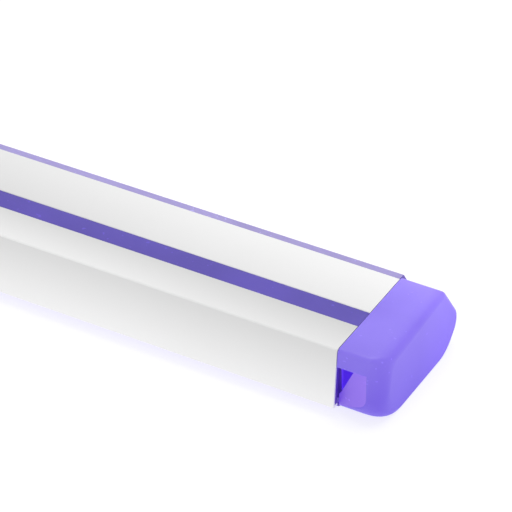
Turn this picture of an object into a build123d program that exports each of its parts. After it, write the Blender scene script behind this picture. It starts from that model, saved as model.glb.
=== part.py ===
from build123d import *

import os
from math import hypot

# LED light tube: a slim linear light with a tinted diffuser tube, white sheet covers and
# pull-off end caps.
#
# Frame: +X along the tube, +Y from the white side wall to the sloped diffuser side, +Z up to the
# mounting face. The origin is under the middle of the tube, on the surface that it stands on.
# Millimetres.

os.makedirs("parts", exist_ok=True)

# ---------------------------------------------------------------- driving dimensions
length = 600.0              # over both end caps
height = 35.0               # underside of the diffuser to the mounting face
cap_length = 22.0           # visible length of an end cap
seam_gap = 0.3              # between the tube's end and the end cap
wall = 1.8                  # diffuser tube wall
sheet = 1.0                 # thickness of the white covers

crease_y = -33.7            # bend between the top and the side wall
foot_y = -37.6              # lower outer corner of the side wall, which leans outwards
foot_z = 5.6
slot_near_y = -15.3         # edges of the open slot between the two covers
slot_far_y = -4.8
cover_far_y = 22.3          # far edge of the top cover, against the lip
lip_y = 25.8                # outer edge of the diffuser's lip
bulge_y, bulge_z = 39.3, 13.5      # widest corner of the diffuser, before rounding
floor_far_y = 25.6          # far corner of the flat underside, before rounding
floor_near_y = -25.5        # near corner of the flat underside
hem_y, hem_z = -33.9, 4.2   # corner beside the folded foot of the side wall
cap_far_y = 23.6            # far top corner of an end cap, before rounding
cap_bulge_y, cap_bulge_z = 38.6, 12.7
cap_core_y = -32.2          # near side of the cap's hollow core, before its wall

end_x = length / 2 - cap_length    # the tube's end
tube_length = 2 * end_x
web_top = height - sheet           # seat of the covers
web_bottom = web_top - wall
rib_width = 5.0                    # thick ribs inside the tube, under the covers' grooves
rib_bottom = web_bottom - 2.0

# ---------------------------------------------------------------- helpers


def outline(points, radii):
    """Closed outline through the points, with one corner radius for each."""
    with BuildLine() as edge:
        FilletPolyline(*points, radius=radii, close=True)
    return edge.edges()


def inset(points, distance):
    """Corners of a convex clockwise outline moved inwards by the distance."""
    count = len(points)
    lines = []
    for i, (ay, az) in enumerate(points):
        by, bz = points[(i + 1) % count]
        run = hypot(by - ay, bz - az)
        uy, uz = (by - ay) / run, (bz - az) / run
        lines.append((ay + uz * distance, az - uy * distance, uy, uz))
    corners = []
    for i in range(count):
        ay, az, uy, uz = lines[i - 1]
        by, bz, vy, vz = lines[i]
        step = ((by - ay) * vz - (bz - az) * vy) / (uy * vz - uz * vy)
        corners.append((ay + uy * step, az + uz * step))
    return corners


def wall_inner_y(z):
    """Inner face of the leaning side wall at a height."""
    lean = (foot_y - crease_y) / (height - foot_z)
    return crease_y + lean * (height - z) + sheet * hypot(1, lean)


def slope_y(z):
    """Outer face of the sloped diffuser side at a height."""
    return lip_y + (bulge_y - lip_y) * (height - z) / (height - bulge_z)


def cap_slope_y(z):
    """Outer face of an end cap's sloped side at a height."""
    return cap_far_y + (cap_bulge_y - cap_far_y) * (height - z) / (height - cap_bulge_z)


def wire(*points, bend, diameter):
    """Insulated wire along straight runs joined by arcs."""
    with BuildPart() as lead:
        with BuildLine() as route:
            FilletPolyline(*points, radius=bend)
        with BuildSketch(Plane(route.line @ 0, z_dir=route.line % 0)):
            Circle(diameter / 2)
        sweep()
    return lead.part


def save(builder, name):
    """Label a finished piece and write its STEP file."""
    builder.part.label = name
    export_step(builder.part, f"parts/{name}.step")


# ---------------------------------------------------------------- section outlines, (y, z)

tube_points = [
    (wall_inner_y(web_top), web_top),
    (cover_far_y, web_top),
    (cover_far_y, height),
    (lip_y, height),
    (bulge_y, bulge_z),
    (floor_far_y, 0),
    (floor_near_y, 0),
    (hem_y, hem_z),
    (hem_y, foot_z + sheet),
    (wall_inner_y(foot_z + sheet), foot_z + sheet),
]
tube_radii = [0, 0, 0, 0.8, 6, 14, 8, 1.5, 0, 0]

hull_points = [
    (wall_inner_y(web_top), web_top),
    (slope_y(web_top), web_top),
    (bulge_y, bulge_z),
    (floor_far_y, 0),
    (floor_near_y, 0),
    (hem_y, hem_z),
    (wall_inner_y(foot_z + sheet), foot_z + sheet),
]
cavity_points = inset(hull_points, wall)
cavity_radii = [1, 1, 4.5, 12.5, 6.5, 0.8, 1]

cap_points = [
    (crease_y, height),
    (cap_far_y, height),
    (cap_bulge_y, cap_bulge_z),
    (floor_far_y, 0),
    (foot_y, 0),
]
cap_radii = [2.5, 2.5, 6.5, 15, 13.5]

spigot_seat = [
    (cap_core_y, rib_bottom + wall),
    (cap_slope_y(rib_bottom + wall), rib_bottom + wall),
    (cap_bulge_y, cap_bulge_z),
    (floor_far_y, 0),
    (floor_near_y, 0),
    (cap_core_y, hem_z),
]
pocket_seat = [
    (cap_core_y, height),
    (cap_far_y, height),
    (cap_bulge_y, cap_bulge_z),
    (floor_far_y, 0),
    (cap_core_y, 0),
]
spigot_gap = 0.3            # between a spigot and the tube's bore
spigot_wall = 1.6
spigot_radii = [1, 1, 4, 12, 6, 2]
inner_radii = [0.5, 0.5, 3, 11, 5, 1]
pocket_radii = [1.5, 1, 3, 12, 9]
seat_radii = [1.5, 1.5, 3.5, 13.5, 5]

# ---------------------------------------------------------------- diffuser tube

screw_pitch = 100.0         # tray screws along the tube
screw_rows = (-23.3, 20.2)
screw_places = [(-2.5 * screw_pitch + i * screw_pitch, y) for i in range(6) for y in screw_rows]
groove_width = 1.1          # grooves that take the covers' turned-down edges
groove_depth = 2.1
groove_centres = (slot_near_y - sheet / 2, slot_far_y + sheet / 2)
land_drop = 0.2             # the tinted land between the covers lies this much below their faces
land_width = groove_centres[1] - groove_centres[0] - groove_width
land_bottom = web_top - groove_depth
screw_radius = 1.5
head_radius = 2.8

with BuildPart() as diffuser_tube:
    with BuildSketch(Plane.YZ.offset(-end_x)):
        make_face(outline(tube_points, tube_radii))
        make_face(outline(cavity_points, cavity_radii), mode=Mode.SUBTRACT)
        for y in groove_centres:
            with Locations((y, (rib_bottom + web_bottom) / 2)):
                Rectangle(rib_width, web_bottom - rib_bottom)
            with Locations((y, web_top - groove_depth / 2)):
                Rectangle(groove_width, groove_depth, mode=Mode.SUBTRACT)
        with Locations((sum(groove_centres) / 2, (height - land_drop + land_bottom) / 2)):
            Rectangle(land_width, height - land_drop - land_bottom)
    extrude(amount=tube_length)
    with Locations(Plane.XY.offset(web_top)):
        with Locations(*screw_places):
            CounterSinkHole(screw_radius + 0.1, head_radius + 0.1, depth=wall + 0.2, counter_sink_angle=90)
save(diffuser_tube, "diffuser_tube")

# ---------------------------------------------------------------- white covers

turn_down = 1.8             # depth of a turned-down edge in its groove
bend = 1.2                  # outer bend radius of the sheet
hem_width = 3.4

with BuildPart() as top_cover_plate:
    with BuildSketch(Plane.YZ.offset(-end_x)):
        plate_points = [
            (slot_far_y, web_top - turn_down),
            (slot_far_y, height),
            (cover_far_y, height),
            (cover_far_y, web_top),
            (slot_far_y + sheet, web_top),
            (slot_far_y + sheet, web_top - turn_down),
        ]
        make_face(outline(plate_points, [0, 0.5, 0.2, 0, 0, 0]))
    extrude(amount=tube_length)
save(top_cover_plate, "top_cover_plate")

with BuildPart() as side_cover:
    with BuildSketch(Plane.YZ.offset(-end_x)):
        cover_points = [
            (slot_near_y, web_top - turn_down),
            (slot_near_y, height),
            (crease_y, height),
            (foot_y, foot_z),
            (foot_y + hem_width, foot_z),
            (foot_y + hem_width, foot_z + sheet),
            (wall_inner_y(foot_z + sheet), foot_z + sheet),
            (wall_inner_y(web_top), web_top),
            (slot_near_y - sheet, web_top),
            (slot_near_y - sheet, web_top - turn_down),
        ]
        make_face(outline(cover_points, [0, 0.5, bend, 0.5, 0, 0, 0, 0, 0, 0]))
    extrude(amount=tube_length)
save(side_cover, "side_cover")

# ---------------------------------------------------------------- end caps

cap_start = end_x + seam_gap
cap_end = length / 2
shoulder = 2.0              # flange that carries the spigot
cap_wall = 2.4
spigot_length = 12.0
near_corner = 9.0           # plan radius of the outer corner on the wall side
far_corner = 2.5            # radius of the slanted outer corner on the diffuser side
top_corner = 6.0            # rounding from the top into the end
bottom_corner = 1.5
lip_depth = 8.6             # plain band under the cap's top edge
panel_length = 15.5         # panel below that band, which falls back towards the tube
panel_depth = 3.6
notch_reach = 7.0           # cable notch in the panel, open towards the tube
notch_drop = 1.7
notch_height = 15.8
notch_depth = 9.2           # from the wall's foot into the core
margin = 20.0               # tools reach this far past the cap
ease = 0.05                 # rounding tools stand off the flat faces by this much
gasket_thickness = 0.8
gasket_inset = 1.3

band_z = height - lip_depth
band_y = crease_y + (foot_y - crease_y) * lip_depth / height
notch = [
    (cap_start - seam_gap, band_z),
    (cap_start + notch_reach, band_z - notch_drop),
    (cap_start + notch_reach * 0.05, band_z - notch_height),
    (cap_start - seam_gap, band_z - notch_height),
]

with BuildPart() as right_end_cap:
    with BuildSketch(Plane.YZ.offset(cap_start)):
        make_face(outline(cap_points, cap_radii))
    extrude(amount=cap_end - cap_start)
    # vertical rounding of the near outer corner
    with BuildSketch(Plane.XY.offset(-margin)):
        near_block = [
            (cap_start - margin, foot_y - ease),
            (cap_end, foot_y - ease),
            (cap_end, bulge_y + margin),
            (cap_start - margin, bulge_y + margin),
        ]
        make_face(outline(near_block, [0, near_corner, 0, 0]))
    extrude(amount=height + 2 * margin, mode=Mode.INTERSECT)
    # slanted rounding of the far outer corner, along the diffuser's slope
    with BuildSketch(Plane.XY.offset(height)):
        far_block = [
            (cap_start - margin, cap_far_y + ease),
            (cap_end, cap_far_y + ease),
            (cap_end, crease_y - 2 * margin),
            (cap_start - margin, crease_y - 2 * margin),
        ]
        make_face(outline(far_block, [0, far_corner, 0, 0]))
    slope = (0, cap_bulge_y - cap_far_y, cap_bulge_z - height)
    extrude(amount=2 * height, dir=slope, mode=Mode.INTERSECT)
    # rounding from the top and the underside into the end
    with BuildSketch(Plane.XZ):
        side_block = [
            (cap_start - margin, height + ease),
            (cap_end, height + ease),
            (cap_end, -ease),
            (cap_start - margin, -ease),
        ]
        make_face(outline(side_block, [0, top_corner, bottom_corner, 0]))
    extrude(amount=height + margin, both=True, mode=Mode.INTERSECT)
    # pocket inside the cap
    with BuildSketch(Plane.YZ.offset(cap_start + shoulder)):
        make_face(outline(inset(pocket_seat, cap_wall), pocket_radii))
    extrude(amount=cap_length - seam_gap - shoulder - cap_wall - near_corner / 3, mode=Mode.SUBTRACT)
    # spigot that slides into the tube
    with BuildSketch(Plane.YZ.offset(cap_start)):
        make_face(outline(inset(spigot_seat, wall + spigot_gap), spigot_radii))
    extrude(amount=-spigot_length)
    with BuildSketch(Plane.YZ.offset(cap_start - spigot_length)):
        make_face(outline(inset(spigot_seat, wall + spigot_gap + spigot_wall), inner_radii))
    extrude(amount=spigot_length + shoulder, mode=Mode.SUBTRACT)
    # seat of the gasket in the face towards the tube
    with BuildSketch(Plane.YZ.offset(cap_start)):
        make_face(outline(inset(pocket_seat, gasket_inset), seat_radii))
        make_face(outline(inset(spigot_seat, wall + spigot_gap), spigot_radii), mode=Mode.SUBTRACT)
    extrude(amount=gasket_thickness, mode=Mode.SUBTRACT)
    # panel that falls back towards the tube, below the plain band
    with BuildSketch(Plane.XY.offset(band_z)):
        panel = [
            (cap_start - seam_gap, band_y - margin),
            (cap_start - seam_gap, band_y + panel_depth),
            (cap_start + panel_length, band_y),
            (cap_start + panel_length, band_y - margin),
        ]
        make_face(outline(panel, [0, 0, 0, 0]))
    extrude(amount=height + margin, dir=(0, foot_y - crease_y, -height), mode=Mode.SUBTRACT)
    # notch where a cable enters
    with BuildSketch(Plane.XZ.offset(margin - foot_y)):
        make_face(outline(notch, [0, 0, 0, 0]))
    extrude(amount=-(margin + notch_depth), mode=Mode.SUBTRACT)
save(right_end_cap, "right_end_cap")

with BuildPart() as left_end_cap:
    mirror(right_end_cap.part, about=Plane.YZ)
save(left_end_cap, "left_end_cap")

# ---------------------------------------------------------------- end seals

with BuildPart() as right_end_seal:
    with BuildSketch(Plane.YZ.offset(cap_start)):
        make_face(outline(inset(pocket_seat, gasket_inset), seat_radii))
        make_face(outline(inset(spigot_seat, wall + spigot_gap), spigot_radii), mode=Mode.SUBTRACT)
    extrude(amount=gasket_thickness)
    with BuildSketch(Plane.XZ.offset(margin - foot_y)):
        make_face(outline(notch, [0, 0, 0, 0]))
    extrude(amount=-(margin + notch_depth), mode=Mode.SUBTRACT)
save(right_end_seal, "right_end_seal")

with BuildPart() as left_end_seal:
    mirror(right_end_seal.part, about=Plane.YZ)
save(left_end_seal, "left_end_seal")

# ---------------------------------------------------------------- led tray, an aluminium extrusion

deck = 1.2                  # thickness of the tray
deck_bottom = 15.8
deck_top = deck_bottom + deck
deck_near_y = -31.0
deck_far_y = 32.0
leg_near_y = -27.2          # outer faces of the two upright legs
leg_far_y = 24.0
flange_width = 7.7
tray_half = end_x - 15.0    # clear of the caps' spigots

board_length = 258.0
board_width = 24.0
board_thickness = 1.2
board_y = 1.0
board_gap = 2.0
board_bottom = deck_bottom - board_thickness
board_centres = (-(board_length + board_gap) / 2, (board_length + board_gap) / 2)
board_screw_x = (12.0, 130.0, 248.0)
board_screw_y = -7.0
board_screw_places = [(side * x, board_screw_y) for side in (-1, 1) for x in board_screw_x]

grommet_place = (22.0, -20.0)
grommet_radius = 3.4
earth_screw_place = (206.0, 17.0)
standoff_places = [(x, y) for x in (44.0, 186.0) for y in (-14.0, 11.0)]
stud_radius = 1.2

with BuildPart() as led_tray:
    with BuildSketch(Plane.YZ.offset(-tray_half)):
        with Locations(((deck_near_y + deck_far_y) / 2, deck_bottom + deck / 2)):
            Rectangle(deck_far_y - deck_near_y, deck)
        for y, side in ((leg_near_y, 1), (leg_far_y, -1)):
            with Locations((y + side * deck / 2, (deck_top + web_bottom) / 2)):
                Rectangle(deck, web_bottom - deck_top)
            with Locations((y + side * flange_width / 2, web_bottom - deck / 2)):
                Rectangle(flange_width, deck)
    extrude(amount=2 * tray_half)
    with Locations(Plane.XY.offset(web_bottom)):
        with Locations(*screw_places):
            Hole(screw_radius + 0.1, depth=deck + 1)
    with Locations(Plane.XY.offset(deck_top)):
        with Locations(*board_screw_places, earth_screw_place):
            Hole(screw_radius + 0.1, depth=deck + 1)
        with Locations(*standoff_places):
            Hole(stud_radius + 0.1, depth=deck + 1)
        with Locations(grommet_place):
            Hole(grommet_radius, depth=deck + 1)
save(led_tray, "led_tray")

with BuildPart() as tray_screws:
    with BuildSketch(Plane.XY.offset(web_top)):
        with Locations(*screw_places):
            Circle(screw_radius)
    extrude(amount=-4.0)
    with BuildSketch(Plane.XY.offset(web_top - 0.1)):
        with Locations(*screw_places):
            Circle(head_radius)
    extrude(amount=-(head_radius - screw_radius), taper=45)
    for x, y in screw_places:
        with Locations((x, y, web_top)):
            Box(3.4, 0.7, 1.2, mode=Mode.SUBTRACT)
            Box(0.7, 3.4, 1.2, mode=Mode.SUBTRACT)
save(tray_screws, "tray_screws")

# ---------------------------------------------------------------- led boards

for centre_x, name in zip(board_centres, ("led_board_left", "led_board_right")):
    with BuildPart() as led_board:
        with BuildSketch(Plane.XY.offset(board_bottom)):
            with Locations((centre_x, board_y)):
                Rectangle(board_length, board_width)
            with Locations(*board_screw_places):
                Circle(screw_radius + 0.1, mode=Mode.SUBTRACT)
        extrude(amount=board_thickness)
    save(led_board, name)

chips_per_board = 24
chip_pitch = board_length / chips_per_board
chip_size = (2.8, 3.5, 0.7)

with BuildPart() as led_chips:
    with BuildSketch(Plane.XY.offset(board_bottom)):
        for centre_x in board_centres:
            with Locations((centre_x, board_y)):
                with GridLocations(chip_pitch, 0, chips_per_board, 1):
                    Rectangle(chip_size[0], chip_size[1])
    extrude(amount=-chip_size[2])
save(led_chips, "led_chips")

with BuildPart() as board_link_connector:
    with BuildSketch(Plane.XY.offset(board_bottom)):
        with Locations((0, board_y + 7.5)):
            Rectangle(16, 7)
    extrude(amount=-2.6)
    with BuildSketch(Plane.XY.offset(board_bottom - 2.6)):
        with Locations((0, board_y + 7.5)):
            with GridLocations(3.2, 0, 4, 1):
                Rectangle(1.6, 4)
    extrude(amount=0.8, mode=Mode.SUBTRACT)
save(board_link_connector, "board_link_connector")

with BuildPart() as board_screws:
    with BuildSketch(Plane.XY.offset(board_bottom)):
        with Locations(*board_screw_places):
            Circle(head_radius)
    extrude(amount=-1.8)
    fillet(board_screws.edges().group_by(Axis.Z)[0], 0.6)
    with BuildSketch(Plane.XY.offset(board_bottom)):
        with Locations(*board_screw_places):
            Circle(screw_radius)
    extrude(amount=board_thickness + deck)
    for x, y in board_screw_places:
        with Locations((x, y, board_bottom - 1.8)):
            Box(3.4, 0.7, 1.6, mode=Mode.SUBTRACT)
            Box(0.7, 3.4, 1.6, mode=Mode.SUBTRACT)
save(board_screws, "board_screws")

# ---------------------------------------------------------------- driver

sheet_thickness = 0.4
driver_x = (30.0, 200.0)
driver_y = (-18.0, 15.0)
driver_bottom = 20.0
driver_thickness = 1.6
driver_top = driver_bottom + driver_thickness
driver_centre = (sum(driver_x) / 2, sum(driver_y) / 2)

with BuildPart() as insulation_sheet:
    with BuildSketch(Plane.XY.offset(deck_top)):
        with Locations(driver_centre):
            Rectangle(driver_x[1] - driver_x[0] + 4, driver_y[1] - driver_y[0] + 4)
        with Locations(*standoff_places):
            Circle(2.7, mode=Mode.SUBTRACT)
    extrude(amount=sheet_thickness)
save(insulation_sheet, "insulation_sheet")

with BuildPart() as driver_standoffs:
    with BuildSketch(Plane.XY.offset(deck_top)):
        with Locations(*standoff_places):
            Circle(2.5)
    extrude(amount=driver_bottom - deck_top)
    with BuildSketch(Plane.XY.offset(deck_bottom + 0.2)):
        with Locations(*standoff_places):
            Circle(stud_radius)
    extrude(amount=driver_top - deck_bottom + 0.8)
save(driver_standoffs, "driver_standoffs")

with BuildPart() as driver_board:
    with BuildSketch(Plane.XY.offset(driver_bottom)):
        with Locations(driver_centre):
            Rectangle(driver_x[1] - driver_x[0], driver_y[1] - driver_y[0])
        with Locations(*standoff_places):
            Circle(stud_radius + 0.1, mode=Mode.SUBTRACT)
    extrude(amount=driver_thickness)
save(driver_board, "driver_board")

transformer_place = (100.0, -1.5)
window_offset = 6.0         # winding windows either side of the core's middle leg
core_height = 7.0

with BuildPart() as transformer_core:
    with BuildSketch(Plane.XY.offset(driver_top)):
        with Locations(transformer_place):
            Rectangle(20, 22)
            with GridLocations(0, 2 * window_offset, 1, 2):
                Rectangle(14, 5, mode=Mode.SUBTRACT)
    extrude(amount=core_height)
save(transformer_core, "transformer_core")

with BuildPart() as transformer_winding:
    with BuildSketch(Plane.XY.offset(driver_top)):
        with Locations(transformer_place):
            with GridLocations(0, 2 * window_offset, 1, 2):
                RectangleRounded(13.6, 4.6, 1)
    extrude(amount=core_height - 0.8)
save(transformer_winding, "transformer_winding")

choke_place = (158.0, 4.0)
with BuildPart() as input_choke:
    with BuildSketch(Plane.XY.offset(driver_top)):
        with Locations(choke_place):
            Circle(5)
    extrude(amount=core_height)
    fillet(input_choke.edges().group_by(Axis.Z)[-1], 0.5)
    with BuildSketch(Plane.XY.offset(driver_top + 1.2)):
        with Locations(choke_place):
            Circle(6)
            Circle(4.2, mode=Mode.SUBTRACT)
    extrude(amount=core_height - 2.4, mode=Mode.SUBTRACT)
save(input_choke, "input_choke")


def lying_can(place, radius, can_length):
    """Electrolytic capacitor lying along X on the driver board, with its rolled end groove."""
    x, y = place
    start = x - can_length / 2
    groove = radius / 8
    with BuildPart() as can:
        with BuildSketch(Plane.XZ.offset(-y)):
            with BuildLine():
                axis_z = driver_top + radius
                Polyline(
                    (start, axis_z),
                    (start, axis_z + radius),
                    (start + 1.5, axis_z + radius),
                    (start + 1.5 + groove, axis_z + radius - groove),
                    (start + 1.5 + 2 * groove, axis_z + radius),
                    (start + can_length, axis_z + radius),
                    (start + can_length, axis_z),
                    close=True,
                )
            make_face()
        revolve(axis=Axis((x, y, driver_top + radius), (1, 0, 0)))
    return can


save(lying_can((128.0, -6.0), 3.6, 17.0), "input_capacitor")
save(lying_can((66.0, 4.0), 3.2, 13.0), "output_capacitor")

bridge_place = (144.0, -9.0)
with BuildPart() as bridge_rectifier:
    with BuildSketch(Plane.XY.offset(driver_top + 0.4)):
        with Locations(bridge_place):
            Rectangle(8, 7)
    extrude(amount=2.4)
    chamfer(bridge_rectifier.edges().group_by(Axis.Z)[-1], 0.4)
    with BuildSketch(Plane.XY.offset(driver_top)):
        with Locations(bridge_place):
            with GridLocations(5, 8.6, 2, 2):
                Rectangle(1.2, 2.2)
    extrude(amount=0.8)
save(bridge_rectifier, "bridge_rectifier")

fuse_place = (178.0, -6.0)
fuse_length = 18.0
fuse_radius = 2.6
ferrule = 4.0
with BuildPart() as fuse:
    fuse_x, fuse_y = fuse_place
    fuse_start = Plane((fuse_x - fuse_length / 2, fuse_y, driver_top + fuse_radius), z_dir=(1, 0, 0))
    with BuildSketch(fuse_start):
        Circle(fuse_radius - 0.3)
    extrude(amount=fuse_length)
    for start in (0, fuse_length - ferrule):
        with BuildSketch(fuse_start.offset(start)):
            Circle(fuse_radius)
        extrude(amount=ferrule)
save(fuse, "fuse")

# ---------------------------------------------------------------- terminal block and its release buttons

block_x = (218.0, 240.0)
block_y = (-15.0, 13.0)
block_height = 10.0
pole_y = (-10.0, -1.0, 8.0)
pole_names = ("live", "neutral", "earth")
inlet_radius = 1.7
inlet_z = deck_top + 4.0
inlet_depth = 8.5
outlet_radius = 1.2
outlet_z = deck_top + 3.5
outlet_depth = 4.0
button_x = 226.5
button_size = 5.0
button_gap = 0.3            # between a button and its pocket
button_rise = 1.4           # how far a button stands above the block
button_height = 4.4
pocket_depth = 4.6
block_top = deck_top + block_height

with BuildPart() as terminal_block:
    with BuildSketch(Plane.XY.offset(deck_top)):
        with Locations((sum(block_x) / 2, sum(block_y) / 2)):
            Rectangle(block_x[1] - block_x[0], block_y[1] - block_y[0])
    extrude(amount=block_height)
    chamfer(terminal_block.edges().group_by(Axis.Z)[-1], 0.8)
    with BuildSketch(Plane.XY.offset(block_top)):
        with Locations(*[(button_x, y) for y in pole_y]):
            Rectangle(button_size + 2 * button_gap, button_size + 2 * button_gap)
    extrude(amount=-pocket_depth, mode=Mode.SUBTRACT)
    with BuildSketch(Plane.YZ.offset(block_x[1])):
        with Locations(*[(y, inlet_z) for y in pole_y]):
            Circle(inlet_radius)
    extrude(amount=-inlet_depth, mode=Mode.SUBTRACT)
    with BuildSketch(Plane.YZ.offset(block_x[0])):
        with Locations(*[(y, outlet_z) for y in pole_y]):
            Circle(outlet_radius)
    extrude(amount=outlet_depth, mode=Mode.SUBTRACT)
save(terminal_block, "terminal_block")

for y, name in zip(pole_y, pole_names):
    with BuildPart() as release_button:
        with BuildSketch(Plane.XY.offset(block_top + button_rise)):
            with Locations((button_x, y)):
                Rectangle(button_size, button_size)
        extrude(amount=-button_height)
        fillet(release_button.edges().group_by(Axis.Z)[-1], 0.4)
        with BuildSketch(Plane.XY.offset(block_top + button_rise)):
            with Locations((button_x, y)):
                Rectangle(3, 0.8)
        extrude(amount=-0.4, mode=Mode.SUBTRACT)
    save(release_button, f"release_button_{name}")

# ---------------------------------------------------------------- leads

lead_diameter = 2.0
lead_bend = 2.2
lead_start = block_x[0] + outlet_depth - 0.4
pad_x = 196.0
pad_rise = 3.0

with BuildPart() as mains_leads:
    for y in pole_y[:2]:
        add(
            wire(
                (lead_start, y, outlet_z),
                (block_x[0] - 6, y, outlet_z),
                (block_x[0] - 11, y, driver_top + pad_rise),
                (pad_x, y, driver_top + pad_rise),
                (pad_x, y, driver_top),
                bend=lead_bend,
                diameter=lead_diameter,
            )
        )
save(mains_leads, "mains_leads")

ring_thickness = 0.8
earth_x, earth_y = earth_screw_place
with BuildPart() as earth_lead:
    add(
        wire(
            (lead_start, pole_y[2], outlet_z),
            (block_x[0] - 6, pole_y[2], outlet_z),
            (earth_x, pole_y[2] + 1.5, deck_top + 1.5),
            (earth_x, earth_y - 3.5, deck_top + 1.5),
            bend=lead_bend / 2,
            diameter=lead_diameter,
        )
    )
    with BuildSketch(Plane.XY.offset(deck_top)):
        with Locations(earth_screw_place):
            Circle(3)
        with Locations((earth_x, earth_y - 4)):
            Rectangle(2.6, 5)
        with Locations(earth_screw_place):
            Circle(screw_radius + 0.1, mode=Mode.SUBTRACT)
    extrude(amount=ring_thickness)
save(earth_lead, "earth_lead")

with BuildPart() as earth_screw:
    with BuildSketch(Plane.XY.offset(deck_top + ring_thickness)):
        with Locations(earth_screw_place):
            Circle(head_radius)
    extrude(amount=1.8)
    fillet(earth_screw.edges().group_by(Axis.Z)[-1], 0.6)
    with BuildSketch(Plane.XY.offset(deck_top + ring_thickness)):
        with Locations(earth_screw_place):
            Circle(screw_radius)
    extrude(amount=-(ring_thickness + deck + 0.4))
    with Locations((earth_x, earth_y, deck_top + ring_thickness + 1.8)):
        Box(3.4, 0.7, 1.6, mode=Mode.SUBTRACT)
        Box(0.7, 3.4, 1.6, mode=Mode.SUBTRACT)
save(earth_screw, "earth_screw")

dc_diameter = 1.1
dc_bend = 1.4
grommet_x, grommet_y = grommet_place
board_edge_y = board_y - board_width / 2

with BuildPart() as dc_leads:
    for start_x, drop_x in ((34.0, grommet_x - 0.8), (38.0, grommet_x + 0.8)):
        add(
            wire(
                (start_x, -12, driver_top),
                (start_x, -12, driver_top + pad_rise),
                (drop_x, grommet_y, driver_top + pad_rise),
                (drop_x, grommet_y, board_bottom - 1.8),
                (drop_x, board_edge_y + 1.5, board_bottom - 1.8),
                (drop_x, board_edge_y + 1.5, board_bottom),
                bend=dc_bend,
                diameter=dc_diameter,
            )
        )
save(dc_leads, "dc_leads")

with BuildPart() as tray_grommet:
    with BuildSketch(Plane.XY.offset(deck_bottom - 1)):
        with Locations(grommet_place):
            Circle(grommet_radius - 0.05)
    extrude(amount=deck + 2)
    for base in (deck_bottom - 1, deck_top):
        with BuildSketch(Plane.XY.offset(base)):
            with Locations(grommet_place):
                Circle(grommet_radius + 1.4)
        extrude(amount=1)
    with Locations(Plane.XY.offset(deck_top + 1)):
        with Locations(grommet_place):
            Hole(1.7)
save(tray_grommet, "tray_grommet")
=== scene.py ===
import math

import bmesh
import bpy
from mathutils import Matrix, Vector


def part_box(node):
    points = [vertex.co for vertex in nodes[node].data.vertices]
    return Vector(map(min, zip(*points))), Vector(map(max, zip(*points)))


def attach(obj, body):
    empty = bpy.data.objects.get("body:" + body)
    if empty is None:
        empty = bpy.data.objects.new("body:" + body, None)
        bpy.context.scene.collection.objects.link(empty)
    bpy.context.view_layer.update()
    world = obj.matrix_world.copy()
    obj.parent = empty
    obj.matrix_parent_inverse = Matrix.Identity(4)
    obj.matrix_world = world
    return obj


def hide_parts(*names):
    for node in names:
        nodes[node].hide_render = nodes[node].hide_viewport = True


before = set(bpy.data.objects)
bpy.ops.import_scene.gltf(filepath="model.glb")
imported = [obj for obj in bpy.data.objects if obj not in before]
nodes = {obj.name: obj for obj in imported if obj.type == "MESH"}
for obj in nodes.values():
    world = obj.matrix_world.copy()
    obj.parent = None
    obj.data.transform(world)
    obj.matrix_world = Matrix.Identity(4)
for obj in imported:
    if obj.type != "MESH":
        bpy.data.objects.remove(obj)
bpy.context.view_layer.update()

# The looks of an LED light tube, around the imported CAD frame. Blender's unit is the metre; the section
# of the tube is given in millimetres and turned into metres by MM.
MM = 0.001

tube_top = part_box("diffuser_tube")[1]
cap_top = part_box("right_end_cap")[1]
tube_end = tube_top.x / MM                # the seam
height = tube_top.z / MM
half_length = cap_top.x / MM

# section of the tube and its covers, in millimetres
sheet = 1.0
wall = 1.8
crease_y = -33.7                          # bend between the top and the side wall
foot_y, foot_z = -37.6, 5.6               # lower edge of the side wall
slot_near_y, slot_far_y = -15.3, -4.8     # facing edges of the two covers
cover_far_y = 22.3                        # far edge of the top cover, against the lip
lip_y = 25.8                              # outer edge of the lip
bulge_y, bulge_z = 39.3, 13.5             # widest place of the diffuser
floor_far_y, floor_near_y = 25.6, -25.5   # edges of the flat underside
hem_y, hem_z = -33.9, 4.2                 # near edge of the diffuser, beside the side wall's fold
web_top = height - sheet
web_bottom = web_top - wall
rib_width, rib_depth = 5.0, 2.0
rib_bottom = web_bottom - rib_depth
groove_width, groove_depth = 1.1, 2.1
groove_gap = (groove_width - sheet) / 2
land_near_y, land_far_y = slot_near_y + groove_gap, slot_far_y - groove_gap
land_drop = 0.2                           # the land between the covers lies this much below their faces
land_top = height - land_drop
land_corner = 0.15
turn_down = 1.8                           # how far the covers' edges reach into the grooves
hem_width = 3.4                           # width of the fold under the side wall
screw_rows = (-23.3, 20.2)
screw_columns = [-250.0 + 100.0 * i for i in range(6)]
screw_hole, screw_head = 1.6, 2.9         # radii

# corner radii, in the order of the outlines that they round
tube_radii = [0, 0, 0.15, 0.8, 6, 14, 8, 1.5, 0, 0]
cavity_radii = [1, 1, 4.5, 12.5, 6.5, 0.8, 1]
plate_radii = [0.1, 0.5, 0.2, 0, 0, 0.1]
cover_radii = [0.1, 0.5, 1.2, 0.5, 0, 0, 0, 0, 0, 0.1]

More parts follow.
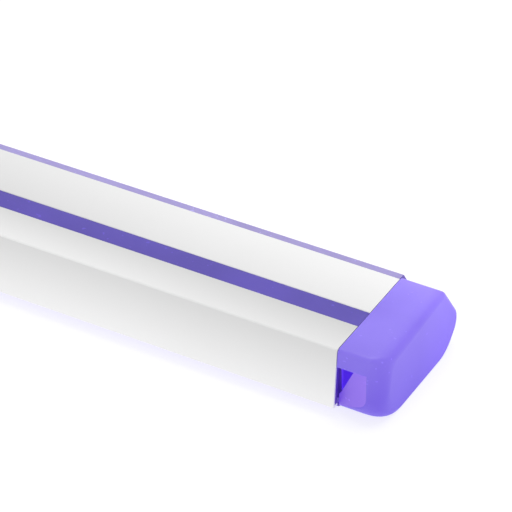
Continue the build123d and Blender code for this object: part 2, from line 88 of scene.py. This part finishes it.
# end caps
seam_gap = 0.3
cap_far_y = 23.6
cap_bulge_y, cap_bulge_z = 38.6, 12.7
cap_core_y = -32.2                        # near side of the spigot and the pocket
cap_start = tube_end + seam_gap
band_height = 8.6                         # plain band above the panel and the notch
panel_length, panel_depth = 15.5, 3.6
notch_reach, notch_drop = 7.0, 1.7        # how far its upper edge goes into the cap, and falls on the way
notch_foot = 0.05 * notch_reach           # how far its lower edge goes in
notch_height, notch_depth = 15.8, 9.2
shoulder, cap_wall = 2.0, 2.4
spigot_length, spigot_gap, spigot_wall = 12.0, 0.3, 1.6
gasket_thickness, gasket_inset = 0.8, 1.3
cap_radii = [2.5, 2.5, 7.5, 15, 13]
corner_growth = [0.5, 0.3, 0.5, 0.5, 0.5] # corners get rounder towards the end
end_radii = [(7.0, 2.2), (2.2, 2.8), (2.8, 2.4), (1.5, 1.5), (6.5, 10.5)]    # sides into the end face
spigot_radii = [1, 1, 4, 12, 6, 2]
core_radii = [0.5, 0.5, 3, 11, 5, 1]
pocket_radii = [1.5, 1, 3, 12, 9]
seat_radii = [1.5, 1.5, 3.5, 13.5, 5]
end_stations = 14                         # rings over the rounding into the end face
edge_width = 0.35                         # small bevel on the cap's edges
overshoot = 20.0                          # how far a cutting block starts outside the cap
margin = 1.0                              # how far other tools run past what they cut or join
tolerance = 0.001
facing = 0.9                              # a face looks along X when its normal has at least this share

# ---------------------------------------------------------------- outlines


def rounded(points, radii, steps=8):
    """Closed outline with its corners turned into arcs."""
    out = []
    count = len(points)
    for i, (point, radius) in enumerate(zip(points, radii)):
        corner = Vector(point)
        if radius <= 0:
            out.append(corner)
            continue
        back = (Vector(points[i - 1]) - corner).normalized()
        ahead = (Vector(points[(i + 1) % count]) - corner).normalized()
        half = back.angle(ahead) / 2
        middle = (back + ahead).normalized()
        centre = corner + middle * (radius / math.sin(half))
        first = corner + back * (radius / math.tan(half)) - centre
        last = corner + ahead * (radius / math.tan(half)) - centre
        sweep = first.angle(last)
        for k in range(steps + 1):
            t = k / steps
            a = math.sin((1 - t) * sweep) / math.sin(sweep)
            b = math.sin(t * sweep) / math.sin(sweep)
            out.append(centre + first * a + last * b)
    return out


def inset(points, distances):
    """Corners of a convex clockwise outline after each edge moves inwards. An edge has one distance for
    its first end and one for its last end."""
    count = len(points)
    lines = []
    for i in range(count):
        start, end = Vector(points[i]), Vector(points[(i + 1) % count])
        way = (end - start).normalized()
        inwards = Vector((way.y, -way.x))
        first, last = start + inwards * distances[i][0], end + inwards * distances[i][1]
        lines.append((first, (last - first).normalized()))
    corners = []
    for i in range(count):
        a, u = lines[i - 1]
        b, v = lines[i]
        step = (b - a).cross(v) / u.cross(v)
        corners.append(a + u * step)
    return corners


def evenly_inset(points, distance):
    return inset(points, [(distance, distance)] * len(points))


def inside_depth(points, y, z):
    """How far a point lies inside a convex clockwise outline."""
    depths = []
    for i in range(len(points)):
        start, end = Vector(points[i]), Vector(points[(i + 1) % len(points)])
        way = (end - start).normalized()
        depths.append((Vector((y, z)) - start).dot(Vector((way.y, -way.x))))
    return min(depths)


def wall_inner_y(z):
    lean = (foot_y - crease_y) / (height - foot_z)
    return crease_y + lean * (height - z) + sheet * math.hypot(1, lean)


def slope_y(z):
    return lip_y + (bulge_y - lip_y) * (height - z) / (height - bulge_z)


def cap_slope_y(z):
    return cap_far_y + (cap_bulge_y - cap_far_y) * (height - z) / (height - cap_bulge_z)


# ---------------------------------------------------------------- mesh helpers


def new_object(name, bm, smooth_angle=35):
    """Mesh object from a bmesh in millimetres, smooth except across sharp edges."""
    bmesh.ops.scale(bm, vec=(MM, MM, MM), verts=bm.verts)
    bmesh.ops.recalc_face_normals(bm, faces=bm.faces)
    for face in bm.faces:
        face.smooth = True
    limit = math.radians(smooth_angle)
    for edge in bm.edges:
        edge.smooth = len(edge.link_faces) != 2 or edge.calc_face_angle(0) < limit
    mesh = bpy.data.meshes.new(name)
    bm.to_mesh(mesh)
    bm.free()
    made = bpy.data.objects.new(name, mesh)
    bpy.context.scene.collection.objects.link(made)
    return made


def prism(loops, x0, x1):
    """Solid between two planes across X. The first loop is the outside and the others are holes."""
    bm = bmesh.new()
    edges = []
    for loop in loops:
        verts = [bm.verts.new((x0, p[0], p[1])) for p in loop]
        edges += [bm.edges.new((verts[i - 1], verts[i])) for i in range(len(verts))]
    filled = bmesh.ops.triangle_fill(bm, use_beauty=True, use_dissolve=False, edges=edges)
    faces = [g for g in filled["geom"] if isinstance(g, bmesh.types.BMFace)]
    grown = bmesh.ops.extrude_face_region(bm, geom=faces, use_keep_orig=True)
    moved = [g for g in grown["geom"] if isinstance(g, bmesh.types.BMVert)]
    bmesh.ops.translate(bm, vec=(x1 - x0, 0, 0), verts=moved)
    return bm


def block(corners, drop):
    """Prism from a flat outline of four or more points, moved along one vector."""
    bm = bmesh.new()
    base = [bm.verts.new(c) for c in corners]
    top = [bm.verts.new(Vector(c) + Vector(drop)) for c in corners]
    count = len(base)
    bm.faces.new(base)
    bm.faces.new(list(reversed(top)))
    for i in range(count):
        j = (i + 1) % count
        bm.faces.new((base[j], base[i], top[i], top[j]))
    return bm


def countersunk_hole(bm, x, y):
    """Closed tool for one screw hole in the web: a countersink above a straight bore."""
    segments = 32
    profile = [
        (web_bottom - margin, screw_hole),
        (web_top - (screw_head - screw_hole), screw_hole),
        (web_top, screw_head),
        (web_top + margin / 2, screw_head),
    ]
    rings = []
    for z, radius in profile:
        ring = []
        for k in range(segments):
            angle = 2 * math.pi * k / segments
            ring.append(bm.verts.new((x + radius * math.cos(angle), y + radius * math.sin(angle), z)))
        rings.append(ring)
    for low, high in zip(rings, rings[1:]):
        for k in range(segments):
            bm.faces.new((low[k - 1], low[k], high[k], high[k - 1]))
    bm.faces.new(list(reversed(rings[0])))
    bm.faces.new(rings[-1])


def cut(target, tool_mesh, operation="DIFFERENCE", look=0):
    """Boolean of the target mesh with a bmesh in millimetres, applied. The faces that the tool makes get
    the target's material of that number."""
    tool = new_object("tool", tool_mesh)
    for slot in target.data.materials:
        tool.data.materials.append(slot)
    for face in tool.data.polygons:
        face.material_index = look
    change = target.modifiers.new("cut", "BOOLEAN")
    change.operation = operation
    change.solver = "EXACT"
    change.object = tool
    bake(target)
    bpy.data.objects.remove(tool)


def bake(target):
    """Apply the modifiers of an object."""
    graph = bpy.context.evaluated_depsgraph_get()
    mesh = bpy.data.meshes.new_from_object(target.evaluated_get(graph))
    target.modifiers.clear()
    target.data = mesh


def soften(target, width, segments=2, angle=38):
    """Small rounded edges, then smooth shading that is split only at what stays sharp."""
    bevel = target.modifiers.new("soften", "BEVEL")
    bevel.width = width * MM
    bevel.segments = segments
    bevel.limit_method = "ANGLE"
    bevel.angle_limit = math.radians(angle)
    bevel.harden_normals = False
    bake(target)
    for face in target.data.polygons:
        face.use_smooth = True
    normals = target.modifiers.new("normals", "WEIGHTED_NORMAL")
    normals.keep_sharp = True
    bake(target)


# ---------------------------------------------------------------- materials


def material(name):
    made = bpy.data.materials.new(name)
    made.use_nodes = True
    tree = made.node_tree
    return made, tree, tree.nodes["Principled BSDF"]


def noise(tree, scale, detail):
    """Noise in object space; the scale is in cycles per metre."""
    place = tree.nodes.new("ShaderNodeTexCoord")
    made = tree.nodes.new("ShaderNodeTexNoise")
    made.inputs["Scale"].default_value = scale
    made.inputs["Detail"].default_value = detail
    tree.links.new(place.outputs["Object"], made.inputs["Vector"])
    return made


def ramp(tree, source, stops):
    made = tree.nodes.new("ShaderNodeValToRGB")
    for element, (place, colour) in zip(made.color_ramp.elements, (stops[0], stops[-1])):
        element.position = place
        element.color = (*colour, 1)
    for place, colour in stops[1:-1]:
        element = made.color_ramp.elements.new(place)
        element.color = (*colour, 1)
    tree.links.new(source, made.inputs["Fac"])
    return made


def shade(colour, factor):
    return tuple(min(1.0, c * factor) for c in colour)


def bump(tree, shader, source, strength, distance):
    made = tree.nodes.new("ShaderNodeBump")
    made.inputs["Strength"].default_value = strength
    made.inputs["Distance"].default_value = distance
    tree.links.new(source, made.inputs["Height"])
    tree.links.new(made.outputs["Normal"], shader.inputs["Normal"])


def drifting(tree, scale, detail, low, darker, high, lighter):
    """Noise between two colours: all darker below one value of the noise, all lighter above another."""
    drift = noise(tree, scale, detail)
    return ramp(tree, drift.outputs["Fac"], [(low, darker), (high, lighter)])


def plain(name, colour, roughness=0.45, metallic=0.0, spread=0.06):
    """Moulded, painted or metal surface: its tone drifts a little and its skin has a fine grain."""
    roughness_spread = 0.04
    made, tree, shader = material(name)
    darker, lighter = shade(colour, 1 - spread), shade(colour, 1 + spread)
    tone = drifting(tree, scale=60.0, detail=3.0, low=0.3, darker=darker, high=0.7, lighter=lighter)
    tree.links.new(tone.outputs["Color"], shader.inputs["Base Color"])
    fine = noise(tree, scale=900.0, detail=2.0)
    rough = tree.nodes.new("ShaderNodeMapRange")
    rough.inputs["To Min"].default_value = roughness - roughness_spread
    rough.inputs["To Max"].default_value = roughness + roughness_spread
    tree.links.new(fine.outputs["Fac"], rough.inputs["Value"])
    tree.links.new(rough.outputs["Result"], shader.inputs["Roughness"])
    bump(tree, shader, fine.outputs["Fac"], strength=0.08, distance=0.0002)
    shader.inputs["Metallic"].default_value = metallic
    return made


def along(tree, axis, stops):
    """Tone that changes along one axis of the frame; each stop is a place in millimetres and its colour,
    or one number for a grey. Along X the place is the distance from the middle of the tube."""
    place = tree.nodes.new("ShaderNodeTexCoord")
    parts = tree.nodes.new("ShaderNodeSeparateXYZ")
    tree.links.new(place.outputs["Object"], parts.inputs["Vector"])
    share = tree.nodes.new("ShaderNodeMapRange")
    first, last = stops[0][0], stops[-1][0]
    share.inputs["From Min"].default_value = first * MM
    share.inputs["From Max"].default_value = last * MM
    spot = parts.outputs[axis]
    if axis == "X":
        distance = tree.nodes.new("ShaderNodeMath")
        distance.operation = "ABSOLUTE"
        tree.links.new(spot, distance.inputs[0])
        spot = distance.outputs["Value"]
    tree.links.new(spot, share.inputs["Value"])
    tones = []
    for stop, tone in stops:
        colour = tone if isinstance(tone, tuple) else (tone, tone, tone)
        tones.append(((stop - first) / (last - first), colour))
    return ramp(tree, share.outputs["Result"], tones)


def multiply(tree, a, b):
    made = tree.nodes.new("ShaderNodeMix")
    made.data_type = "RGBA"
    made.blend_type = "MULTIPLY"
    made.inputs["Factor"].default_value = 1.0
    tree.links.new(a, made.inputs["A"])
    tree.links.new(b, made.inputs["B"])
    return made.outputs["Result"]


def frosted(name, body, glow, strength, bottom_shade_tone=1.0, across=None, roughness=0.42):
    """Frosted violet plastic that light soaks into: a slow drift of tone, faint pale specks and an inner
    glow. A tone for the bottom multiplies it there as painted shade. With tones across, painted shade and
    light also change it along Y, and painted shade darkens it towards the end face."""
    end_rounding = 7.0
    spread, speck_tone = 0.06, 1.35
    made, tree, shader = material(name)
    darker, lighter = shade(body, 1 - spread), shade(body, 1 + spread)
    tone = drifting(tree, scale=28.0, detail=2.0, low=0.35, darker=darker, high=0.65, lighter=lighter)
    black, white = (0, 0, 0), (1, 1, 1)
    dots = drifting(tree, scale=420.0, detail=1.0, low=0.71, darker=black, high=0.76, lighter=white)
    mix = tree.nodes.new("ShaderNodeMix")
    mix.data_type = "RGBA"
    mix.inputs["B"].default_value = (*shade(body, speck_tone), 1)
    tree.links.new(dots.outputs["Color"], mix.inputs["Factor"])
    tree.links.new(tone.outputs["Color"], mix.inputs["A"])
    # painted shade: darker towards the bottom
    bottom_shade_ramp = along(tree, "Z", [(0, bottom_shade_tone), (height, 1.0)])
    body_colour = multiply(tree, mix.outputs["Result"], bottom_shade_ramp.outputs["Color"])
    # painted shade and light along Y, and painted shade towards the end face
    if across:
        end = along(tree, "X", [(half_length - end_rounding, 1.0), (half_length, end_shade_violet)])
        sides = multiply(tree, along(tree, "Y", across).outputs["Color"], end.outputs["Color"])
        body_colour = multiply(tree, body_colour, sides)
    tree.links.new(body_colour, shader.inputs["Base Color"])
    fine = noise(tree, scale=700.0, detail=3.0)
    bump(tree, shader, fine.outputs["Fac"], strength=0.06, distance=0.0002)
    shader.inputs["Roughness"].default_value = roughness
    shader.inputs["Subsurface Weight"].default_value = 0.2
    shader.inputs["Subsurface Radius"].default_value = (0.7, 0.5, 1.0)
    shader.inputs["Subsurface Scale"].default_value = 0.003
    shader.inputs["Emission Color"].default_value = (*glow, 1)
    shader.inputs["Emission Strength"].default_value = strength
    return made


def coat(name, axis, stops, middle_shade_tone, end_shade_tone):
    """Satin white coating on bent sheet, with painted shade and light: a slow change of tone across and
    along the sheet.
    """
    made, tree, shader = material(name)
    darker, lighter = (0.79, 0.79, 0.79), (0.815, 0.815, 0.815)
    tone = drifting(tree, scale=9.0, detail=2.0, low=0.3, darker=darker, high=0.7, lighter=lighter)
    # painted shade and light: the tone across the sheet and along its length stands in for how light falls
    # on it
    across = along(tree, axis, stops)
    lengthways = along(tree, "X", [(tube_end / 3, middle_shade_tone), (tube_end, end_shade_tone)])
    both = multiply(tree, across.outputs["Color"], lengthways.outputs["Color"])
    tree.links.new(multiply(tree, tone.outputs["Color"], both), shader.inputs["Base Color"])
    fine = noise(tree, scale=1500.0, detail=2.0)
    bump(tree, shader, fine.outputs["Fac"], strength=0.04, distance=0.0001)
    shader.inputs["Roughness"].default_value = 0.4
    return made


glow = (0.11, 0.03, 1.0)
lining_glow = (0.30, 0.22, 1.0)
# Painted shade on the violet plastic: these tones make it darker where less light falls.
cap_shade_tones = [(foot_y, 0.58), (-20, 0.68), (0, 0.73), (cap_far_y, 1.0)]    # painted shade: darker on the near side, lighter on the far side
bottom_shade_violet = (0.58, 0.49, 0.83)           # painted shade: deeper towards the bottom
end_shade_violet = (0.84, 0.78, 0.97)           # painted shade: deeper towards the end face
# A tone after the glow strength is painted shade at the bottom. The cap's tones after it add painted shade
# across and at the end face.
violet_cap = frosted("violet_cap", (0.295, 0.24, 0.56), glow, 0.45, bottom_shade_violet, cap_shade_tones)
# painted shade: the panel that falls back towards the tube gets a darker violet
violet_panel_shade = frosted("violet_panel_shade", (0.245, 0.15, 0.40), glow, 0.45, 0.9)
# painted shade: faces inside the notch, the pocket and the core get a darker violet
violet_inner_shade = frosted("violet_inner_shade", (0.25, 0.14, 0.46), glow, 0.48)
# painted shade: the faces at the seam between tube and cap get a dark violet with little glow
violet_seam_shade = frosted("violet_seam_shade", (0.11, 0.05, 0.34), glow, 0.10)
violet_tube = frosted("violet_tube", (0.215, 0.175, 0.43), glow, 0.45, 0.9)
violet_lining = frosted("violet_lining", (0.24, 0.19, 0.44), lining_glow, 0.32)
# the land between the covers: no glow, as the tray hides it from the LEDs, and a darker violet that is
# painted shade, as if it lay deep in the slot
violet_land_shade = frosted("violet_land_shade", (0.09, 0.061, 0.40), glow, 0.0, roughness=0.5)
lavender_lip = frosted("lavender_lip", (0.345, 0.30, 0.60), glow, 0.0, roughness=0.5)
# Painted shade and light on the covers: the far strip is darker towards the slot and the near strip darker
# beside the slot. The side wall is lighter at its foot and darker at its top. Along the tube the far strip
# gets lighter and the near strip darker towards the ends.
far_strip = coat("far_strip", "Y", [(slot_far_y, 0.88), (cover_far_y, 1.0)], 0.94, 1.06)
near_strip = coat("near_strip", "Y", [(crease_y, 0.93), (slot_near_y, 0.75)], 1.04, 0.97)
side_wall = coat("side_wall", "Z", [(foot_z, 1.14), (height, 0.86)], 1.0, 1.0)
dark_rubber = plain("dark_rubber", (0.035, 0.02, 0.10), 0.7)
mill_aluminium = plain("mill_aluminium", (0.62, 0.63, 0.65), 0.38, metallic=1.0)
white_mask = plain("white_mask", (0.82, 0.82, 0.80), 0.3)
phosphor = plain("phosphor", (0.85, 0.72, 0.22), 0.3)
white_nylon = plain("white_nylon", (0.76, 0.76, 0.73), 0.45)
zinc = plain("zinc", (0.6, 0.6, 0.6), 0.3, metallic=1.0)
film = plain("film", (0.66, 0.62, 0.48), 0.22)
laminate = plain("laminate", (0.03, 0.17, 0.06), 0.35, spread=0.15)
ferrite = plain("ferrite", (0.05, 0.05, 0.055), 0.55)
yellow_tape = plain("yellow_tape", (0.65, 0.45, 0.06), 0.35)
black_sleeve = plain("black_sleeve", (0.03, 0.03, 0.035), 0.35)
blue_sleeve = plain("blue_sleeve", (0.01, 0.015, 0.06), 0.25)
black_epoxy = plain("black_epoxy", (0.02, 0.02, 0.02), 0.5)
ceramic = plain("ceramic", (0.7, 0.7, 0.66), 0.3)
orange_nylon = plain("orange_nylon", (0.75, 0.2, 0.03), 0.4)
brown_pvc = plain("brown_pvc", (0.16, 0.06, 0.025), 0.4)
green_pvc = plain("green_pvc", (0.06, 0.35, 0.05), 0.4)
red_pvc = plain("red_pvc", (0.5, 0.02, 0.02), 0.4)

finishes = {
    dark_rubber: ["right_end_seal", "left_end_seal", "tray_grommet"],
    mill_aluminium: ["led_tray"],
    white_mask: ["led_board_left", "led_board_right"],
    phosphor: ["led_chips"],
    white_nylon: ["board_link_connector", "driver_standoffs", "terminal_block"],
    zinc: ["tray_screws", "board_screws", "earth_screw"],
    film: ["insulation_sheet"],
    laminate: ["driver_board"],
    ferrite: ["transformer_core"],
    yellow_tape: ["transformer_winding"],
    black_sleeve: ["input_choke"],
    blue_sleeve: ["input_capacitor", "output_capacitor"],
    black_epoxy: ["bridge_rectifier"],
    ceramic: ["fuse"],
    orange_nylon: ["release_button_live", "release_button_neutral", "release_button_earth"],
    brown_pvc: ["mains_leads"],
    green_pvc: ["earth_lead"],
    red_pvc: ["dc_leads"],
}
for look, members in finishes.items():
    for member in members:
        nodes[member].data.materials.clear()
        nodes[member].data.materials.append(look)

# ---------------------------------------------------------------- diffuser tube

tube_points = [
    (wall_inner_y(web_top), web_top),
    (cover_far_y, web_top),
    (cover_far_y, height),
    (lip_y, height),
    (bulge_y, bulge_z),
    (floor_far_y, 0),
    (floor_near_y, 0),
    (hem_y, hem_z),
    (hem_y, foot_z + sheet),
    (wall_inner_y(foot_z + sheet), foot_z + sheet),
]
hull_points = [
    (wall_inner_y(web_top), web_top),
    (slope_y(web_top), web_top),
    (bulge_y, bulge_z),
    (floor_far_y, 0),
    (floor_near_y, 0),
    (hem_y, hem_z),
    (wall_inner_y(foot_z + sheet), foot_z + sheet),
]


def stiffening_rib(y):
    """Solid under the web, below one of the grooves."""
    half = rib_width / 2
    middle = web_bottom + wall / 2
    corners = [(y - half, middle), (y + half, middle), (y + half, rib_bottom), (y - half, rib_bottom)]
    return prism([corners], -tube_end, tube_end)


def cover_groove(y):
    """Tool for the groove that takes the turned-down edge of a cover."""
    half = groove_width / 2
    top, bottom = web_top + margin, web_top - groove_depth
    corners = [(y - half, top), (y + half, top), (y + half, bottom), (y - half, bottom)]
    return prism([corners], -tube_end - margin, tube_end + margin)


def land():
    """Raised strip of the tube between the two covers."""
    middle = web_bottom + wall / 2
    corners = [(land_near_y, middle), (land_near_y, land_top), (land_far_y, land_top), (land_far_y, middle)]
    return prism([rounded(corners, [0, land_corner, land_corner, 0], 4)], -tube_end, tube_end)


def screw_holes():
    bm = bmesh.new()
    for x in screw_columns:
        for y in screw_rows:
            countersunk_hole(bm, x, y)
    return bm


def colour_diffuser(diffuser):
    tube_look, land_shade_look, lip_look, seam_shade_look, lining_look = range(5)
    diffuser.data.materials.clear()
    for look in (violet_tube, violet_land_shade, lavender_lip, violet_seam_shade, violet_lining):
        diffuser.data.materials.append(look)
    for face in diffuser.data.polygons:
        y, z = face.center.y / MM, face.center.z / MM
        # painted shade: the land between the covers gets a darker violet
        if z > land_top - wall and land_near_y - tolerance < y < land_far_y + tolerance:
            face.material_index = land_shade_look
        elif z > land_top and y > cover_far_y:
            face.material_index = lip_look
        # painted shade: the tube's end faces at the seam get a dark violet
        elif abs(face.normal.x) > facing:
            face.material_index = seam_shade_look
        elif inside_depth(hull_points, y, z) > wall / 2:
            face.material_index = lining_look
        else:
            face.material_index = tube_look


def build_diffuser():
    tube_outline = rounded(tube_points, tube_radii, 14)
    cavity_outline = rounded(evenly_inset(hull_points, wall), cavity_radii, 10)
    diffuser = new_object("diffuser_shell", prism([tube_outline, cavity_outline], -tube_end, tube_end))
    for y in (slot_near_y - sheet / 2, slot_far_y + sheet / 2):
        cut(diffuser, stiffening_rib(y), "UNION")
        cut(diffuser, cover_groove(y))
    cut(diffuser, land(), "UNION")
    cut(diffuser, screw_holes())
    colour_diffuser(diffuser)
    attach(diffuser, "tube")
    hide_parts("diffuser_tube")


build_diffuser()

# ---------------------------------------------------------------- white covers

plate_points = [
    (slot_far_y, web_top - turn_down),
    (slot_far_y, height),
    (cover_far_y, height),
    (cover_far_y, web_top),
    (slot_far_y + sheet, web_top),
    (slot_far_y + sheet, web_top - turn_down),
]
cover_points = [
    (slot_near_y, web_top - turn_down),
    (slot_near_y, height),
    (crease_y, height),
    (foot_y, foot_z),
    (foot_y + hem_width, foot_z),
    (foot_y + hem_width, foot_z + sheet),
    (wall_inner_y(foot_z + sheet), foot_z + sheet),
    (wall_inner_y(web_top), web_top),
    (slot_near_y - sheet, web_top),
    (slot_near_y - sheet, web_top - turn_down),
]


def build_top_cover():
    cover = new_object("top_cover", prism([rounded(plate_points, plate_radii, 6)], -tube_end, tube_end))
    cover.data.materials.append(far_strip)
    return cover


def build_side_cover():
    """Bent sheet: the near strip on top, and the side wall with its fold."""
    upward = 0.5                          # faces of the top have a normal with more Z than this
    outline = rounded(cover_points, cover_radii, 8)
    cover = new_object("side_cover_skin", prism([outline], -tube_end, tube_end))
    cover.data.materials.append(near_strip)
    cover.data.materials.append(side_wall)
    for face in cover.data.polygons:
        on_wall = face.normal.z < upward and face.center.y < (crease_y + sheet) * MM
        face.material_index = int(on_wall)
    return cover


top_cover = build_top_cover()
side_cover = build_side_cover()
for piece, node in ((top_cover, "top_cover_plate"), (side_cover, "side_cover")):
    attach(piece, "tube")
    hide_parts(node)

# ---------------------------------------------------------------- end caps

cap_points = [
    (crease_y, height),
    (cap_far_y, height),
    (cap_bulge_y, cap_bulge_z),
    (floor_far_y, 0),
    (foot_y, 0),
]
spigot_seat = [
    (cap_core_y, rib_bottom + wall),
    (cap_slope_y(rib_bottom + wall), rib_bottom + wall),
    (cap_bulge_y, cap_bulge_z),
    (floor_far_y, 0),
    (floor_near_y, 0),
    (cap_core_y, hem_z),
]
pocket_seat = [
    (cap_core_y, height),
    (cap_far_y, height),
    (cap_bulge_y, cap_bulge_z),
    (floor_far_y, 0),
    (cap_core_y, 0),
]
spigot_inset = wall + spigot_gap
spigot_outline = rounded(evenly_inset(spigot_seat, spigot_inset), spigot_radii)
core_outline = rounded(evenly_inset(spigot_seat, spigot_inset + spigot_wall), core_radii)
pocket_outline = rounded(evenly_inset(pocket_seat, cap_wall), pocket_radii)
seat_outline = rounded(evenly_inset(pocket_seat, gasket_inset), seat_radii)


def cap_ring(x):
    """Outline of the cap at one station: each side has come in by its own rounding."""

    def taken(radius):
        reach = max(0.0, x - (half_length - radius))
        return radius - math.sqrt(max(0.0, radius * radius - reach * reach))

    distances = [(taken(first), taken(last)) for first, last in end_radii]
    corners = inset(cap_points, distances)
    radii = []
    for i, radius in enumerate(cap_radii):
        radii.append(radius + corner_growth[i] * min(distances[i][0], distances[i - 1][1]))
    return rounded(corners, radii, 14)


def cap_body():
    """Outer form of the right cap: rings from the seam to the end face."""
    bm = bmesh.new()
    longest = max(max(pair) for pair in end_radii)
    stations = [cap_start, half_length - longest]
    for k in range(1, end_stations + 1):
        stations.append(half_length - longest * (1 - math.sin(math.pi / 2 * k / end_stations)))
    rings = []
    for x in stations:
        rings.append([bm.verts.new((x, p.x, p.y)) for p in cap_ring(x)])
    for a, b in zip(rings, rings[1:]):
        count = len(a)
        for i in range(count):
            j = (i + 1) % count
            bm.faces.new((a[i], a[j], b[j], b[i]))
    bm.faces.new(rings[0])
    bm.faces.new(list(reversed(rings[-1])))
    return bm


def cap_pocket():
    """Tool for the space inside the cap, behind its end wall."""
    corner_share = end_radii[4][0] / 3    # keeps a wall where the near corner rounds off
    return prism([pocket_outline], cap_start + shoulder, half_length - cap_wall - corner_share)


def cap_panel(band_z):
    """Tool for the panel that falls back towards the tube, parallel to the side wall."""
    band_y = crease_y + (foot_y - crease_y) * band_height / height
    corners = [
        (cap_start - seam_gap, band_y - overshoot, band_z),
        (cap_start - seam_gap, band_y + panel_depth, band_z),
        (cap_start + panel_length, band_y, band_z),
        (cap_start + panel_length, band_y - overshoot, band_z),
    ]
    share = (height + overshoot) / height
    return block(corners, (0, (foot_y - crease_y) * share, -height * share))


def cap_notch(band_z):
    """Tool for the notch where a cable enters."""
    start_y = foot_y - overshoot
    corners = [
        (cap_start - seam_gap, start_y, band_z),
        (cap_start + notch_reach, start_y, band_z - notch_drop),
        (cap_start + notch_foot, start_y, band_z - notch_height),
        (cap_start - seam_gap, start_y, band_z - notch_height),
    ]
    return block(corners, (0, overshoot + notch_depth, 0))


def build_right_cap():
    """Cap with its spigot, the space inside, the gasket's seat, the panel and the notch. The faces that a
    tool makes get their material from the boolean."""
    band_z = height - band_height
    cap = new_object("right_cap_shell", cap_body(), 60)
    plain_look, panel_shade_look, inner_shade_look, seam_shade_look = range(4)
    for look in (violet_cap, violet_panel_shade, violet_inner_shade, violet_seam_shade):
        cap.data.materials.append(look)
    # painted shade: faces at the seam get a dark violet
    for face in cap.data.polygons:
        at_seam = abs(face.normal.x) > facing and face.center.x < (cap_start + seam_gap) * MM
        face.material_index = seam_shade_look if at_seam else plain_look
    spigot_end = cap_start - spigot_length
    cut(cap, prism([spigot_outline], spigot_end, cap_start + margin), "UNION", seam_shade_look)
    core = prism([core_outline], spigot_end - margin, cap_start + shoulder + margin / 2)
    # painted shade: the core, the pocket and the notch get a darker violet
    cut(cap, core, look=inner_shade_look)
    cut(cap, cap_pocket(), look=inner_shade_look)
    seat = prism([seat_outline, spigot_outline], cap_start - margin / 2, cap_start + gasket_thickness)
    cut(cap, seat, look=seam_shade_look)
    # painted shade: the panel's faces get a darker violet
    cut(cap, cap_panel(band_z), look=panel_shade_look)
    cut(cap, cap_notch(band_z), look=inner_shade_look)
    soften(cap, edge_width)
    return cap


def mirrored(original, name):
    """Copy of an object on the other side of the tube's middle."""
    made = original.copy()
    made.name = name
    made.data = original.data.copy()
    made.data.transform(Matrix.Scale(-1, 4, (1, 0, 0)))
    made.data.flip_normals()
    bpy.context.scene.collection.objects.link(made)
    return made


right_cap = build_right_cap()
left_cap = mirrored(right_cap, "left_cap_shell")
for piece, body, node in ((right_cap, "right_cap", "right_end_cap"), (left_cap, "left_cap", "left_end_cap")):
    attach(piece, body)
    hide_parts(node)

# ---------------------------------------------------------------- floor, light and camera


def pale_floor():
    """Matt grey that glows, so that it comes out white and meets the sky without an edge."""
    made, _, shader = material("pale_floor")
    shader.inputs["Base Color"].default_value = (0.3, 0.3, 0.3, 1)
    shader.inputs["Roughness"].default_value = 0.9
    shader.inputs["Specular IOR Level"].default_value = 0.0
    shader.inputs["Emission Color"].default_value = (1, 1, 1, 1)
    shader.inputs["Emission Strength"].default_value = 0.75
    return made


def build_floor():
    reach, thickness = 6000.0, 10.0
    corners = [(-reach, -reach, 0), (-reach, reach, 0), (reach, reach, 0), (reach, -reach, 0)]
    floor = new_object("floor", block(corners, (0, 0, -thickness)))
    floor.data.materials.append(pale_floor())


def softbox(name, place, aim, size, power):
    lamp = bpy.data.lights.new(name, "AREA")
    lamp.shape = "RECTANGLE"
    lamp.size, lamp.size_y = size
    lamp.energy = power
    made = bpy.data.objects.new(name, lamp)
    made.location = place
    made.rotation_mode = "QUATERNION"
    made.rotation_quaternion = (Vector(aim) - Vector(place)).to_track_quat("-Z", "Y")
    bpy.context.scene.collection.objects.link(made)


def build_sky():
    """White at the horizon, grey higher up."""
    world = bpy.data.worlds.new("studio")
    world.use_nodes = True
    sky = world.node_tree
    direction = sky.nodes.new("ShaderNodeTexCoord")
    split = sky.nodes.new("ShaderNodeSeparateXYZ")
    sky.links.new(direction.outputs["Generated"], split.inputs["Vector"])
    horizon = ramp(sky, split.outputs["Z"], [(0.18, (1, 1, 1)), (0.45, (0.66, 0.66, 0.66))])
    sky.links.new(horizon.outputs["Color"], sky.nodes["Background"].inputs["Color"])
    sky.nodes["Background"].inputs["Strength"].default_value = 1.0
    bpy.context.scene.world = world


def build_camera():
    """Long lens from the near right and above; a negative roll turns it clockwise."""
    azimuth, elevation, roll = math.radians(31.264), math.radians(36.689), math.radians(-1.72)
    distance, focal_length = 1.33345, 211.39
    from_seam, aim_y, below_top = 70.13, 18.44, 10.0
    aim = Vector((tube_end - from_seam, aim_y, height - below_top)) * MM
    back = Vector((
        math.sin(azimuth) * math.cos(elevation),
        -math.cos(azimuth) * math.cos(elevation),
        math.sin(elevation),
    ))
    side = Vector((0, 0, 1)).cross(back).normalized()
    up = back.cross(side)
    turned_side = side * math.cos(roll) + up * math.sin(roll)
    turned_up = up * math.cos(roll) - side * math.sin(roll)
    optics = bpy.data.cameras.new("camera")
    optics.lens = focal_length
    optics.sensor_width = 36.0
    optics.clip_end = 50.0
    turn = Matrix((turned_side, turned_up, back)).transposed().to_4x4()
    camera = bpy.data.objects.new("camera", optics)
    camera.matrix_world = Matrix.Translation(aim + back * distance) @ turn
    bpy.context.scene.collection.objects.link(camera)
    bpy.context.scene.camera = camera


build_floor()
softbox("key", place=(0.3, 0.4, 1.9), aim=(0.1, 0, 0), size=(1.6, 1.2), power=18)
softbox("fill", place=(0.0, -1.9, 1.2), aim=(0.1, 0, 0), size=(1.6, 1.0), power=2.5)
build_sky()
build_camera()
bpy.context.scene.view_settings.view_transform = "Standard"
